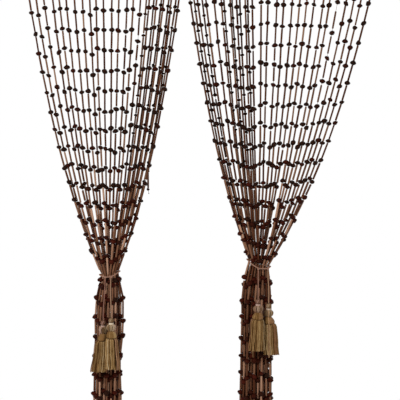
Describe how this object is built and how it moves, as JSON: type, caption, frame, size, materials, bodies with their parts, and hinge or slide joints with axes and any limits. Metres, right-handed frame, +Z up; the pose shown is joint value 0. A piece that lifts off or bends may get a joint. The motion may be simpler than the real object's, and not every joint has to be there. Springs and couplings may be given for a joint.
{
  "type": "bead curtain",
  "caption": "Doorway curtain of bead and tube strands in two halves, each tied back at a waist by a cord with two tassels, hung from a narrow wooden heading strip",
  "frame": {"origin": "the middle of the top edge of the heading, half way through its depth", "axes": "+X to the right seen from the front, -Y is the front, where the tassels hang, +Z is up along the strands"},
  "size_m": [0.9, 0.0909, 1.7999],
  "materials": {
    "strands": "satin varnish",
    "cord": "matte twisted cord",
    "tassel": "soft sheen yarn"
  },
  "bodies": {
    "root": {"strands_left": "strands", "strands_right": "strands", "tie_left": "cord", "tie_right": "cord", "tail_left_a": "cord", "tail_left_b": "cord", "tail_right_a": "cord", "tail_right_b": "cord", "tassel_left_a": "tassel", "tassel_left_b": "tassel", "tassel_right_a": "tassel", "tassel_right_b": "tassel"}
  },
  "joints": []
}
